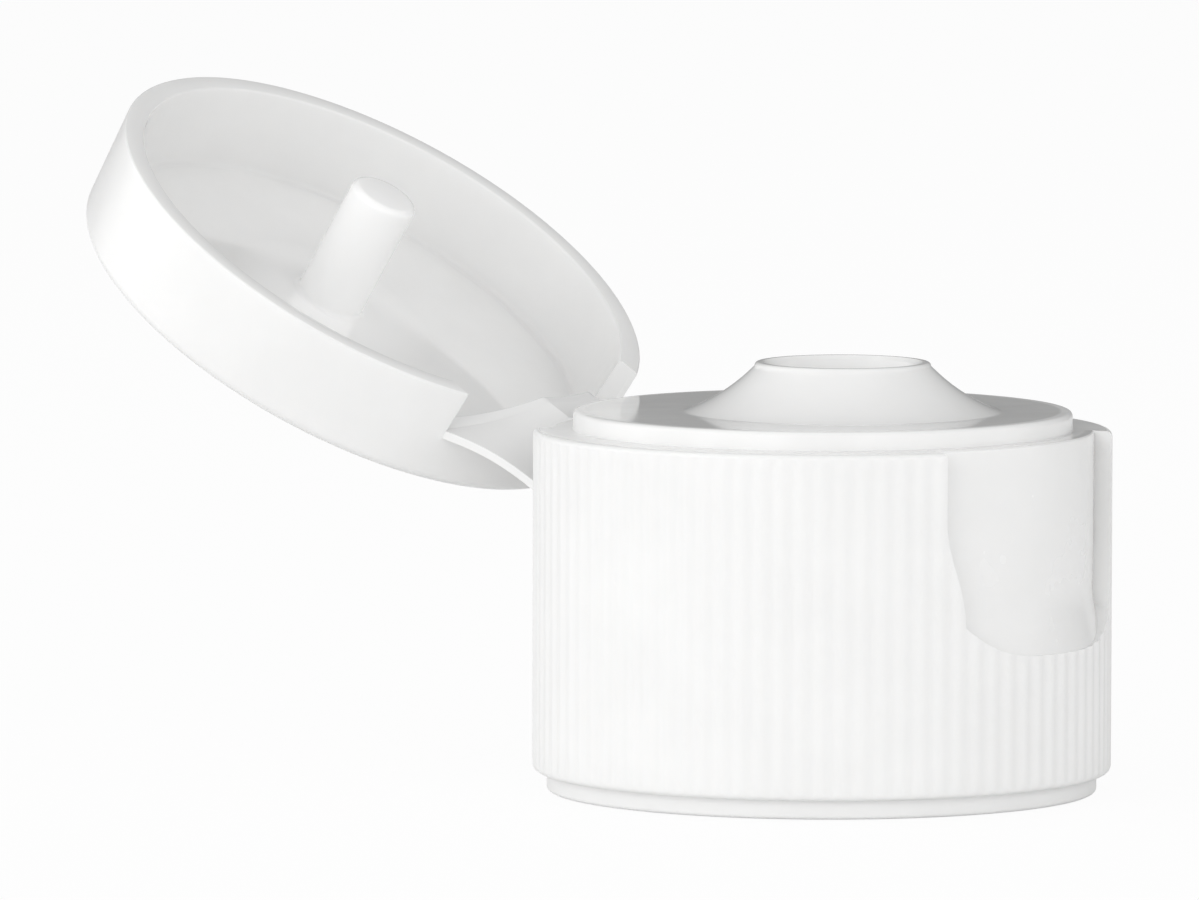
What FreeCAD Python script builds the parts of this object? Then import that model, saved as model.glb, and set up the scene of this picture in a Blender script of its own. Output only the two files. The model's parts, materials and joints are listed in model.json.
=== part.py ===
import FreeCAD, Part
import math
import os

# Flip top cap for a 24-410 bottle neck, moulded as one piece in polypropylene:
# a ribbed closure body with a pouring spout, a lid with a plug pin, and the
# butterfly living hinge that joins them.  Millimetres.  The origin is the
# centre of the bottom rim, +Z is up, +Y points to the hinge and -Y to the
# thumb recess.  The lid is built shut and then swung to its resting angle.

# Neck side
NECK_BORE_RADIUS = 12.05
NECK_BORE_DEPTH = 16.4
LAND_RECESS_ROUND = 0.3
SEAL_RING_INSET = 1.7
SEAL_RING_WIDTH = 0.7
SEAL_RING_HEIGHT = 0.6

# Skirt
SKIRT_WALL = 1.95
SHOULDER = 1.1
RIB_COUNT = 90
RIB_DEPTH = 0.07
TOP_EDGE_ROUND = 0.3
BOTTOM_EDGE_ROUND = 0.35
BEAD_STEP = 0.7
BEAD_HEIGHT = 0.95
BEAD_ROUND = 0.2

# Deck
LEDGE_WIDTH = 1.93
DECK_RISE = 0.93
DECK_EDGE_ROUND = 0.25
DECK_THICKNESS = 1.2
DECK_WALL = 1.07

# Spout
SPOUT_OFFSET = 1.15
SPOUT_RISE = 2.4
LIP_INNER_RADIUS = 3.67
LIP_WALL = 0.53
LIP_ROUND = 0.2
FLARE_RUN = 4.7
LAND_HEIGHT = 0.3
ORIFICE_ABOVE_BORE = 0.05
FUNNEL_WALL = 1.1
FUNNEL_EDGE_ROUND = 0.2
RELIEF_WALL = 1.2
RELIEF_GAP = 0.8
RELIEF_ROUND = 0.3

# Thumb recess
RECESS_DEPTH = 0.91
RECESS_HALF_WIDTH = 7.17
RECESS_TOE_HALF_WIDTH = 6.3
RECESS_SIDE_LENGTH = 4.9
RECESS_TOE_LENGTH = 8.8
RECESS_LENGTH = 10.2
SCOOP_LENGTH = 2.9

# Lid
LID_OVERHANG = 0.1
LID_DRAFT = 0.25
LID_RIM_WALL = 1.05
LID_INSIDE_DRAFT = 0.3
LID_HEADROOM = 1.02
LID_ROOF = 1.0
LID_TOP_ROUND = 0.6
LID_CORNER_ROUND = 0.3
MOUTH_EDGE_ROUND = 0.12

# Plug pin
PIN_RADIUS = 1.7
PIN_PAST_ORIFICE = 0.95
PIN_TIP_ROUND = 0.35
PIN_CLEARANCE = 0.10

# Living hinge
OPEN_ANGLE = 147.4
AXIS_OUTSIDE_SKIRT = 0.18
AXIS_ABOVE_LEDGE = 0.15
WEB_THICKNESS = 0.4
STRAP_HALF_WIDTH = 1.95
WING_HALF_WIDTH = 7.2
BODY_NOTCH_DEPTH = 2.85
LID_NOTCH_DEPTH = 2.45
WING_BOW = 0.32
WEB_ROOT = 0.25

# Worked out from the values above
SKIRT_RADIUS = NECK_BORE_RADIUS + SKIRT_WALL
BEAD_RADIUS = SKIRT_RADIUS - BEAD_STEP
LEDGE_HEIGHT = NECK_BORE_DEPTH + SHOULDER
DECK_RADIUS = SKIRT_RADIUS - LEDGE_WIDTH
DECK_TOP = LEDGE_HEIGHT + DECK_RISE
DECK_UNDERSIDE = DECK_TOP - DECK_THICKNESS
LAND_RECESS_RADIUS = DECK_RADIUS - DECK_WALL
SEAL_RING_OUTER_RADIUS = LAND_RECESS_RADIUS - SEAL_RING_INSET
LIP_OUTER_RADIUS = LIP_INNER_RADIUS + LIP_WALL
FLARE_FOOT_RADIUS = LIP_OUTER_RADIUS + FLARE_RUN
SPOUT_TOP = DECK_TOP + SPOUT_RISE
ORIFICE_RADIUS = PIN_RADIUS + PIN_CLEARANCE
ORIFICE_BOTTOM = NECK_BORE_DEPTH + ORIFICE_ABOVE_BORE
ORIFICE_TOP = ORIFICE_BOTTOM + LAND_HEIGHT
LID_RIM_RADIUS = SKIRT_RADIUS + LID_OVERHANG
LID_TOP_RADIUS = LID_RIM_RADIUS - LID_DRAFT
LID_MOUTH_RADIUS = LID_RIM_RADIUS - LID_RIM_WALL
LID_FLOOR_RADIUS = LID_MOUTH_RADIUS - LID_INSIDE_DRAFT
LID_CEILING = SPOUT_TOP + LID_HEADROOM
LID_TOP = LID_CEILING + LID_ROOF
NOTCH_FLOOR_RADIUS = LID_MOUTH_RADIUS
AXIS_Y = SKIRT_RADIUS + AXIS_OUTSIDE_SKIRT
AXIS_Z = LEDGE_HEIGHT + AXIS_ABOVE_LEDGE
OVERLAP = 0.2
FAR = 3 * SKIRT_RADIUS

Vector = FreeCAD.Vector
UP = Vector(0, 0, 1)


def corner_cut(before, corner, after, radius):
    """Ends and middle of the arc that rounds one corner of an outline."""
    to_before = (before - corner).normalize()
    to_after = (after - corner).normalize()
    half = to_before.getAngle(to_after) / 2
    reach = radius / math.tan(half)
    inward = (to_before + to_after).normalize()
    centre = corner + inward * (radius / math.sin(half))
    return corner + to_before * reach, centre - inward * radius, corner + to_after * reach


def outline(corners):
    """Closed wire in the XZ plane through (x, z) or (x, z, corner radius)."""
    points = [Vector(c[0], 0, c[1]) for c in corners]
    ends = []
    for i, c in enumerate(corners):
        radius = c[2] if len(c) > 2 else 0
        if radius > 0:
            ends.append(corner_cut(points[i - 1], points[i], points[(i + 1) % len(points)], radius))
        else:
            ends.append((points[i],))
    edges = []
    for i, end in enumerate(ends):
        if len(end) == 3:
            edges.append(Part.Arc(*end).toShape())
        start, stop = end[-1], ends[(i + 1) % len(ends)][0]
        if start.distanceToPoint(stop) > 1e-6:
            edges.append(Part.LineSegment(start, stop).toShape())
    return Part.Wire(edges)


def turned(wire, offset_y=0.0):
    """Solid of revolution of an XZ outline about a vertical axis at y = offset_y."""
    solid = Part.Face(wire).revolve(Vector(0, 0, 0), UP, 360)
    solid.translate(Vector(0, offset_y, 0))
    return solid


def ribbed_prism():
    """Prism whose outline is one shallow arc for each rib, crests on the skirt radius."""
    pitch = 2 * math.pi / RIB_COUNT
    valley = SKIRT_RADIUS - RIB_DEPTH
    edges = []
    for i in range(RIB_COUNT):
        places = ((i - 0.5, valley), (i, SKIRT_RADIUS), (i + 0.5, valley))
        points = [Vector(r * math.sin(k * pitch), r * math.cos(k * pitch), 0) for k, r in places]
        edges.append(Part.Arc(*points).toShape())
    return Part.Face(Part.Wire(edges)).extrude(Vector(0, 0, SPOUT_TOP + 1))


def flare_arc():
    """Concave flare of the spout, level where it runs out on the deck, as an XZ edge."""
    run = FLARE_FOOT_RADIUS - LIP_OUTER_RADIUS
    rise = SPOUT_RISE - LIP_ROUND
    radius = (run ** 2 + rise ** 2) / (2 * rise)
    half = math.asin(run / radius) / 2
    centre_z = DECK_TOP + radius
    middle = Vector(FLARE_FOOT_RADIUS - radius * math.sin(half), 0, centre_z - radius * math.cos(half))
    lip = Vector(LIP_OUTER_RADIUS, 0, DECK_TOP + rise)
    foot = Vector(FLARE_FOOT_RADIUS, 0, DECK_TOP)
    return Part.Arc(lip, middle, foot).toShape()


def deck_and_spout():
    """Raised deck with the flared spout, cut to the deck's round edge."""
    flare = flare_arc()
    lip = Vector(LIP_OUTER_RADIUS, 0, SPOUT_TOP - LIP_ROUND)
    slant = LIP_ROUND * math.sqrt(0.5)
    lip_middle = Vector(LIP_OUTER_RADIUS - LIP_ROUND + slant, 0, SPOUT_TOP - LIP_ROUND + slant)
    lip_end = Vector(LIP_OUTER_RADIUS - LIP_ROUND, 0, SPOUT_TOP)
    rim = [
        Vector(FLARE_FOOT_RADIUS, 0, DECK_TOP),
        Vector(2 * DECK_RADIUS, 0, DECK_TOP),
        Vector(2 * DECK_RADIUS, 0, NECK_BORE_DEPTH),
        Vector(0, 0, NECK_BORE_DEPTH),
        Vector(0, 0, SPOUT_TOP),
        lip_end,
    ]
    edges = [Part.LineSegment(a, b).toShape() for a, b in zip(rim, rim[1:])]
    edges += [Part.Arc(lip_end, lip_middle, lip).toShape(), flare]
    crown = turned(Part.Wire(edges), -SPOUT_OFFSET)
    height = SPOUT_TOP - NECK_BORE_DEPTH
    drum = Part.makeCylinder(DECK_RADIUS, height, Vector(0, 0, NECK_BORE_DEPTH))
    crown = crown.common(drum)
    rim_edges = [
        e for e in crown.Edges
        if abs(e.BoundBox.XMax - DECK_RADIUS) < 1e-3 and abs(e.BoundBox.ZMin - DECK_TOP) < 1e-3
        and e.BoundBox.ZLength < 1e-3
    ]
    return crown.makeFillet(DECK_EDGE_ROUND, rim_edges)


def skirt_blank():
    """Outer form of the ribbed skirt and its bottom bead, solid inside."""
    blank = turned(outline([
        (0, 0),
        (BEAD_RADIUS, 0, BEAD_ROUND),
        (BEAD_RADIUS, BEAD_HEIGHT),
        (SKIRT_RADIUS, BEAD_HEIGHT, BOTTOM_EDGE_ROUND),
        (SKIRT_RADIUS, LEDGE_HEIGHT, TOP_EDGE_ROUND),
        (0, LEDGE_HEIGHT),
    ]))
    return blank.common(ribbed_prism())


def neck_cavity():
    """Space for the bottle neck, with the sealing land above it and its ring left standing."""
    cavity = turned(outline([
        (0, -1),
        (NECK_BORE_RADIUS, -1),
        (NECK_BORE_RADIUS, NECK_BORE_DEPTH),
        (LAND_RECESS_RADIUS, NECK_BORE_DEPTH),
        (LAND_RECESS_RADIUS, DECK_UNDERSIDE, LAND_RECESS_ROUND),
        (0, DECK_UNDERSIDE),
    ]))
    ring = turned(outline([
        (SEAL_RING_OUTER_RADIUS - SEAL_RING_WIDTH, DECK_UNDERSIDE + OVERLAP),
        (SEAL_RING_OUTER_RADIUS, DECK_UNDERSIDE + OVERLAP),
        (SEAL_RING_OUTER_RADIUS, DECK_UNDERSIDE - SEAL_RING_HEIGHT, SEAL_RING_WIDTH / 3),
        (SEAL_RING_OUTER_RADIUS - SEAL_RING_WIDTH, DECK_UNDERSIDE - SEAL_RING_HEIGHT, SEAL_RING_WIDTH / 3),
    ]))
    boss_radius = ORIFICE_RADIUS + FUNNEL_WALL
    boss = turned(outline([
        (0, ORIFICE_BOTTOM),
        (boss_radius, ORIFICE_BOTTOM, FUNNEL_EDGE_ROUND),
        (boss_radius, DECK_UNDERSIDE + OVERLAP),
        (0, DECK_UNDERSIDE + OVERLAP),
    ]), -SPOUT_OFFSET)
    return cavity.cut(ring).cut(boss)


def funnel():
    """Pouring well: a cone from the lip down to the short land round the orifice."""
    return turned(outline([
        (0, ORIFICE_BOTTOM - 1),
        (ORIFICE_RADIUS, ORIFICE_BOTTOM - 1),
        (ORIFICE_RADIUS, ORIFICE_TOP),
        (LIP_INNER_RADIUS, SPOUT_TOP - LIP_ROUND),
        (LIP_INNER_RADIUS + LIP_ROUND, SPOUT_TOP),
        (LIP_INNER_RADIUS + LIP_ROUND, SPOUT_TOP + 1),
        (0, SPOUT_TOP + 1),
    ]), -SPOUT_OFFSET)


def underside_relief():
    """Hollow under the flare that keeps the spout's wall even."""
    inner = ORIFICE_RADIUS + FUNNEL_WALL + RELIEF_GAP
    outer = FLARE_FOOT_RADIUS - RELIEF_WALL
    peak_radius = (inner + LIP_OUTER_RADIUS + RELIEF_WALL) / 2
    peak = DECK_TOP + SPOUT_RISE / 2 - RELIEF_WALL
    return turned(outline([
        (inner, DECK_UNDERSIDE - OVERLAP / 2),
        (outer, DECK_UNDERSIDE - OVERLAP / 2),
        (outer - RELIEF_GAP / 2, DECK_UNDERSIDE + OVERLAP / 4),
        (peak_radius, peak, RELIEF_ROUND),
        (inner, DECK_UNDERSIDE + RELIEF_ROUND),
    ]), -SPOUT_OFFSET)


def thumb_recess():
    """Step in the skirt under the lid's front edge, with a scooped foot, as a cutter."""
    floor_radius = SKIRT_RADIUS - RECESS_DEPTH
    scoop_top = LEDGE_HEIGHT - RECESS_LENGTH + SCOOP_LENGTH
    scoop_radius = (RECESS_DEPTH ** 2 + SCOOP_LENGTH ** 2) / (2 * RECESS_DEPTH)
    half = math.asin(SCOOP_LENGTH / scoop_radius) / 2
    top = LEDGE_HEIGHT + 1
    start = Vector(floor_radius, 0, scoop_top)
    middle = Vector(
        floor_radius + scoop_radius * (1 - math.cos(half)), 0, scoop_top - scoop_radius * math.sin(half)
    )
    foot = Vector(SKIRT_RADIUS, 0, scoop_top - SCOOP_LENGTH)
    outside = [foot, Vector(FAR, 0, foot.z), Vector(FAR, 0, top), Vector(floor_radius, 0, top), start]
    edges = [Part.Arc(start, middle, foot).toShape()]
    edges += [Part.LineSegment(a, b).toShape() for a, b in zip(outside, outside[1:])]
    ring = turned(Part.Wire(edges))
    toe_z = LEDGE_HEIGHT - RECESS_TOE_LENGTH
    left = [
        Vector(-RECESS_TOE_HALF_WIDTH, 0, toe_z),
        Vector(-RECESS_HALF_WIDTH, 0, LEDGE_HEIGHT - RECESS_SIDE_LENGTH),
        Vector(-RECESS_HALF_WIDTH, 0, top),
    ]
    right = [Vector(-p.x, 0, p.z) for p in reversed(left)]
    sides = left + right
    tongue = [Part.LineSegment(a, b).toShape() for a, b in zip(sides, sides[1:])]
    tongue.append(Part.Arc(right[-1], Vector(0, 0, foot.z - 0.05), left[0]).toShape())
    prism = Part.Face(Part.Wire(tongue)).extrude(Vector(0, -FAR, 0))
    return ring.common(prism)


def notch(side, depth):
    """Three-cornered notch beside the strap, as a cutter: down for the body, up for the lid."""
    mouth = LEDGE_HEIGHT - math.copysign(1.0, depth)
    corners = [
        (side * STRAP_HALF_WIDTH, LEDGE_HEIGHT),
        (side * WING_HALF_WIDTH, LEDGE_HEIGHT + depth),
        (side * WING_HALF_WIDTH, mouth),
        (side * STRAP_HALF_WIDTH, mouth),
    ]
    return Part.Face(outline(corners)).extrude(Vector(0, FAR, 0))


def closure_body():
    """Ribbed skirt, deck and spout: the part that screws on the neck."""
    body = skirt_blank().fuse(deck_and_spout())
    body = body.cut(neck_cavity()).cut(funnel()).cut(underside_relief()).cut(thumb_recess())
    floor = Part.makeCylinder(NOTCH_FLOOR_RADIUS, 2 * LEDGE_HEIGHT)
    for side in (-1, 1):
        body = body.cut(notch(side, -BODY_NOTCH_DEPTH).cut(floor))
    return body.removeSplitter()


def lid_shut():
    """Lid cup with its plug pin, rim resting on the ledge."""
    cup = turned(outline([
        (0, LID_CEILING),
        (LID_FLOOR_RADIUS, LID_CEILING, LID_CORNER_ROUND),
        (LID_MOUTH_RADIUS, LEDGE_HEIGHT, MOUTH_EDGE_ROUND),
        (LID_RIM_RADIUS, LEDGE_HEIGHT),
        (LID_TOP_RADIUS, LID_TOP, LID_TOP_ROUND),
        (0, LID_TOP),
    ]))
    tip = ORIFICE_BOTTOM - PIN_PAST_ORIFICE
    pin = turned(outline([
        (0, tip),
        (PIN_RADIUS, tip, PIN_TIP_ROUND),
        (PIN_RADIUS, LID_CEILING + OVERLAP),
        (0, LID_CEILING + OVERLAP),
    ]), -SPOUT_OFFSET)
    for side in (-1, 1):
        cup = cup.cut(notch(side, LID_NOTCH_DEPTH))
    return cup.fuse(pin)


def opened(shape):
    """The same shape swung about the hinge axis from shut to its resting angle."""
    swung = shape.copy()
    swung.rotate(Vector(0, AXIS_Y, AXIS_Z), Vector(-1, 0, 0), OPEN_ANGLE)
    return swung


def opened_point(point):
    """One point swung the same way."""
    return opened(Part.Vertex(point)).Point


def web_section(x):
    """Closed strip in the plane at x, from the body's hinge line to the lid's."""
    share = (abs(x) - STRAP_HALF_WIDTH) / (WING_HALF_WIDTH - STRAP_HALF_WIDTH)
    middle_radius = SKIRT_RADIUS - WEB_THICKNESS / 2
    y = math.sqrt(middle_radius ** 2 - x ** 2)
    on_body = Vector(x, y, LEDGE_HEIGHT - BODY_NOTCH_DEPTH * share - WEB_THICKNESS / 2)
    on_lid = opened_point(Vector(x, y, LEDGE_HEIGHT + LID_NOTCH_DEPTH * share + WEB_THICKNESS / 2))
    along = (on_lid - on_body).normalize()
    across = Vector(1, 0, 0).cross(along)
    across = across if across.z > 0 else across * -1
    start = on_body - along * WEB_ROOT
    stop = on_lid + along * WEB_ROOT
    half = across * (WEB_THICKNESS / 2)
    bow = across * (WING_BOW * share)
    centre = (start + stop) / 2 + bow
    edges = [
        Part.Arc(start + half, centre + half + across * 1e-3, stop + half).toShape(),
        Part.LineSegment(stop + half, stop - half).toShape(),
        Part.Arc(stop - half, centre - half + across * 1e-3, start - half).toShape(),
        Part.LineSegment(start - half, start + half).toShape(),
    ]
    return Part.Wire(edges)


def hinge_web(body, lid):
    """Strap and two wings of the butterfly hinge, drawn at the resting angle."""
    middle = (STRAP_HALF_WIDTH + WING_HALF_WIDTH) / 2
    places = (STRAP_HALF_WIDTH, middle, WING_HALF_WIDTH)
    stations = [-x for x in reversed(places)] + list(places)
    raw = Part.makeLoft([web_section(x) for x in stations], True, True)
    web = raw.cut(body).cut(lid)
    return max(web.Solids, key=lambda s: s.Volume)


def main():
    body = closure_body()
    lid = opened(lid_shut())
    parts = {"closure_body": body, "lid": lid, "hinge_web": hinge_web(body, lid)}
    os.makedirs("parts", exist_ok=True)
    for name, shape in parts.items():
        solid = shape.Solids[0] if len(shape.Solids) == 1 else shape
        solid.exportStep("parts/" + name + ".step")
        print(name, len(shape.Solids), "solid", round(solid.Volume, 2), "mm3", solid.isValid())


main()
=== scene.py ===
import json
import math

import bpy
import numpy as np
from bpy.props import FloatProperty, FloatVectorProperty, IntProperty, PointerProperty
from mathutils import Matrix, Vector


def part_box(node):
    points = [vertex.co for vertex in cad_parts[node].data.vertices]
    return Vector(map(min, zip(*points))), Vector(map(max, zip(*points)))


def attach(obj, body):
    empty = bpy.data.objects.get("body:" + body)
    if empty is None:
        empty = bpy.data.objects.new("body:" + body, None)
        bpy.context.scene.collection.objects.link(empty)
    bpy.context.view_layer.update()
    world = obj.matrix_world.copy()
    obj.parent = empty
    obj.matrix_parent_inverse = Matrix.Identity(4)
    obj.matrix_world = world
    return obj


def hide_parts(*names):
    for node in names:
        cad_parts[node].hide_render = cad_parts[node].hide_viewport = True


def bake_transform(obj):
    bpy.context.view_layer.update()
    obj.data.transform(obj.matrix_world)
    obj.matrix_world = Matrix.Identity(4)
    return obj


bl_info = {
    "name": "Flip top cap",
    "version": (1, 0, 0),
    "blender": (4, 5, 0),
    "location": "3D View > Sidebar > Flip Top Cap",
    "description": "Ribbed closure with a pouring spout and a hinged lid, fitted round its packed frame",
    "category": "Add Mesh",
}

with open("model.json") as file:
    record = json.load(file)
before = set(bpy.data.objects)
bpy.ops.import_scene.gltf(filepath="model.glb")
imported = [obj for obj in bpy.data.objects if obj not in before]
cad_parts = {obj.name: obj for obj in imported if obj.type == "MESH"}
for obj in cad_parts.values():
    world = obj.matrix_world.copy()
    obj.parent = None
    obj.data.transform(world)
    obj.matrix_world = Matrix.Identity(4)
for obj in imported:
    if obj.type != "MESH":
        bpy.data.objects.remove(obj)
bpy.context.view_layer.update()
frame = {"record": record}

# Places and sizes that the frame gives, in metres.
MM = 0.001
RECORD = frame["record"]
HINGE = RECORD["behaviour"]["joints"][0]
AXIS_Y, AXIS_Z = HINGE["pos_m"][1:]
OPEN_ANGLE = math.radians(-HINGE["range_deg"][0])
BORE = RECORD["mounts"][0]["dims"]
BORE_RADIUS = BORE["r_mm"] * MM
BORE_DEPTH = BORE["length_mm"] * MM
BODY_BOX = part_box("closure_body")
SKIRT_RADIUS = round(BODY_BOX[1][1], 5)
SPOUT_TOP = round(BODY_BOX[1][2], 5)
LEDGE = AXIS_Z - 0.15 * MM

# Fixed details of the moulding that a user would not change, in metres.
BEAD_RADIUS = SKIRT_RADIUS - 0.7 * MM
BEAD_HEIGHT = 0.95 * MM
BEAD_ROUND = 0.2 * MM
FOOT_ROUND = 0.35 * MM
TOP_ROUND = 0.3 * MM
EDGE_ROUND = 0.1 * MM
CREASE = 0.08 * MM
RECESS_HALF_WIDTH = 7.17 * MM
RECESS_TOE_HALF_WIDTH = 6.25 * MM
RECESS_SIDE = LEDGE - 3.3 * MM
RECESS_WAIST = LEDGE - 8.5 * MM
RECESS_TOE = LEDGE - 8.42 * MM
RECESS_FOOT = LEDGE - 10.02 * MM
SCOOP_TOP = LEDGE - 7.3 * MM
SCOOP_LENGTH = 2.9 * MM
STRAP_HALF_WIDTH = 1.95 * MM
WING_HALF_WIDTH = 7.2 * MM
BODY_NOTCH = 2.85 * MM
LID_NOTCH = 2.45 * MM
RIM_GAP = 0.03 * MM
NOTCH_FLOOR = 13.05 * MM
SECTOR = math.radians(48)
LIP_ROUND = 0.2 * MM
FLARE_BEND = 9.0 * MM
FLARE_RUN = 3.38 * MM
THREAD_PITCH = 3.175 * MM
THREAD_HEIGHT = 1.05 * MM
THREAD_HALF_WIDTH = 0.85 * MM
THREAD_START = 3.2 * MM
THREAD_TURNS = 1.6


# ---------------------------------------------------------------- sizes and finish


class ClosureSizes(bpy.types.PropertyGroup):
    """Sizes of the ribbed closure body."""

    rib_count: IntProperty(name="Ribs", description="Number of grip ribs round the skirt", default=90, min=12)
    rib_depth: FloatProperty(
        name="Rib Depth", description="Crest to valley of a rib", default=0.07 * MM, unit="LENGTH", precision=5)
    recess_depth: FloatProperty(
        name="Thumb Recess", description="How far the thumb recess steps in", default=0.91 * MM,
        unit="LENGTH", precision=5)
    deck_radius: FloatProperty(
        name="Deck Radius", description="Radius of the raised deck", default=12.07 * MM, unit="LENGTH", precision=5)
    deck_rise: FloatProperty(
        name="Deck Rise", description="Height of the deck above the ledge", default=0.93 * MM,
        unit="LENGTH", precision=5)
    spout_offset: FloatProperty(
        name="Spout Offset", description="Distance of the spout from the axis, away from the hinge",
        default=1.15 * MM, unit="LENGTH", precision=5)
    lip_radius: FloatProperty(
        name="Lip Radius", description="Inner radius of the spout's lip", default=3.67 * MM,
        unit="LENGTH", precision=5)


class LidSizes(bpy.types.PropertyGroup):
    """Sizes of the lid and its plug pin."""

    rim_radius: FloatProperty(
        name="Rim Radius", description="Outer radius at the lid's rim", default=14.1 * MM,
        unit="LENGTH", precision=5)
    draft: FloatProperty(
        name="Draft", description="How much narrower the lid is at its top", default=0.25 * MM,
        unit="LENGTH", precision=5)
    wall: FloatProperty(
        name="Wall", description="Wall thickness at the rim", default=1.05 * MM, unit="LENGTH", precision=5)
    depth: FloatProperty(
        name="Depth", description="Depth of the lid from rim to ceiling", default=4.35 * MM,
        unit="LENGTH", precision=5)
    pin_radius: FloatProperty(
        name="Pin Radius", description="Radius of the plug pin", default=1.7 * MM, unit="LENGTH", precision=5)
    pin_reach: FloatProperty(
        name="Pin Reach", description="How far the pin stands past the rim", default=2.0 * MM,
        unit="LENGTH", precision=5)


class HingeSizes(bpy.types.PropertyGroup):
    """Sizes of the butterfly hinge."""

    thickness: FloatProperty(
        name="Web Thickness", description="Thickness of the strap and wings", default=0.4 * MM,
        unit="LENGTH", precision=5)
    bow: FloatProperty(
        name="Wing Bow", description="How far a wing's free edge bows up", default=0.32 * MM,
        unit="LENGTH", precision=5)
    strips: IntProperty(name="Strips", description="Strips that each wing bends in", default=4, min=1, max=8)


class CapFinish(bpy.types.PropertyGroup):
    """Colour and surface of the moulding."""

    colour: FloatVectorProperty(
        name="Plastic", description="Colour of the polypropylene", subtype="COLOR", size=3,
        default=(0.86, 0.86, 0.855), min=0, max=1)
    satin: FloatProperty(
        name="Satin Roughness", description="Roughness of the skirt", default=0.42, min=0, max=1)
    gloss: FloatProperty(
        name="Gloss Roughness", description="Roughness of the polished deck, spout and lid inside",
        default=0.07, min=0, max=1)


class CapStudio(bpy.types.PropertyGroup):
    """Lights round the cap."""

    power: FloatProperty(name="Softboxes", description="Power that the softboxes share", default=1.0, min=0)
    world: FloatProperty(name="Surroundings", description="Level of the room", default=0.6, min=0)
    mirrored: FloatProperty(
        name="Mirrored Room", description="Level of the room that the polished faces mirror", default=0.15, min=0)


# ---------------------------------------------------------------- profiles


def smooth(t):
    """Eased step: 0 below 0, 1 above 1, 3t^2 - 2t^3 between."""
    t = np.clip(t, 0.0, 1.0)
    return t * t * (3 - 2 * t)


def rounded(corners, steps=5):
    """Profile through (r, z) or (r, z, radius) corners.  A corner with a radius becomes the
    arc that touches both of its sides, as steps points evenly spaced by angle."""
    points = np.array([c[:2] for c in corners], float)
    out = [points[0]]
    for before, corner, after, radius in zip(
            points, points[1:], points[2:], [c[2] if len(c) > 2 else 0 for c in corners[1:]]):
        if radius <= 0:
            out.append(corner)
            continue
        a = (before - corner) / np.linalg.norm(before - corner)
        b = (after - corner) / np.linalg.norm(after - corner)
        half = math.acos(np.clip(a @ b, -1, 1)) / 2
        middle = (a + b) / np.linalg.norm(a + b)
        centre = corner + middle * radius / math.sin(half)
        start, stop = corner + a * radius / math.tan(half) - centre, corner + b * radius / math.tan(half) - centre
        turn = math.pi - 2 * half
        t = np.linspace(0, 1, steps)[:, None]
        out.extend(centre + (np.sin((1 - t) * turn) * start + np.sin(t * turn) * stop) / math.sin(turn))
    out.append(points[-1])
    return np.array(out)


def grid_faces(ring, rows, closed=True):
    """Quads between neighbouring columns and rows of a grid stored row by row."""
    index = np.arange(rows * ring).reshape(rows, ring)
    if closed:
        index = np.concatenate([index, index[:, :1]], axis=1)
    return np.stack([index[:-1, :-1], index[:-1, 1:], index[1:, 1:], index[1:, :-1]], axis=-1)


def welded(points, quads, polygons=()):
    """Merges points at the same place and drops what collapses: a quad with one closed side
    becomes a triangle, and one with more is left out."""
    keys = np.round(points[:, :3] / 1e-8 + 0.37).astype(np.int64)
    _, first, index = np.unique(keys, axis=0, return_index=True, return_inverse=True)
    index = index.ravel()
    quads = index[quads]
    same = quads == np.roll(quads, -1, axis=1)
    folded = same.sum(axis=1)
    faces = quads[folded == 0].tolist()
    faces += quads[folded == 1][~same[folded == 1]].reshape(-1, 3).tolist()
    for polygon in polygons:
        loop = index[np.asarray(polygon)]
        faces.append(loop[loop != np.roll(loop, -1)].tolist())
    return points[first], faces


def swung(points, angle=OPEN_ANGLE):
    """Points turned about the hinge axis: y and z rotate, x stays."""
    y, z = points[..., 1] - AXIS_Y, points[..., 2] - AXIS_Z
    c, s = math.cos(angle), math.sin(angle)
    return np.stack([points[..., 0], AXIS_Y + y * c + z * s, AXIS_Z - y * s + z * c], axis=-1)


def add_piece(name, points, quads, material, body, polygons=(), polish=None, replaces=None):
    """One finished mesh, welded, facing outwards, riding on its body."""
    if polish is not None:
        points = np.column_stack([points, polish])
    points, faces = welded(points, quads, polygons)
    mesh = bpy.data.meshes.new(name)
    mesh.from_pydata(points[:, :3], [], faces)
    mesh.update()
    if polish is not None:
        # The extra columns become attributes: polish, and on the lid a mask of the pin, whose colour the material
        # paints paler as a painted glow.
        for look, column in zip(("polish", "bright"), points.T[3:]):
            mesh.attributes.new(look, "FLOAT", "POINT").data.foreach_set("value", column.astype(np.float32))
    if volume(mesh) < 0:
        mesh.flip_normals()
    mesh.polygons.foreach_set("use_smooth", np.ones(len(mesh.polygons), bool))
    mesh.set_sharp_from_angle(angle=math.radians(38))
    mesh.materials.append(material)
    piece = bpy.data.objects.new(name, mesh)
    bpy.context.scene.collection.objects.link(piece)
    if replaces:
        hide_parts(replaces)
    if body:
        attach(piece, body)
    return piece


def volume(mesh):
    """Six times the signed volume: the sum over triangles of a . (b x c)."""
    mesh.calc_loop_triangles()
    corners = np.empty(len(mesh.loop_triangles) * 3, np.int32)
    mesh.loop_triangles.foreach_get("vertices", corners)
    points = np.empty(len(mesh.vertices) * 3)
    mesh.vertices.foreach_get("co", points)
    a, b, c = np.moveaxis(points.reshape(-1, 3)[corners.reshape(-1, 3)], 1, 0)
    return float(np.einsum("ij,ij->i", a, np.cross(b, c)).sum())


# ---------------------------------------------------------------- closure body


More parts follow.
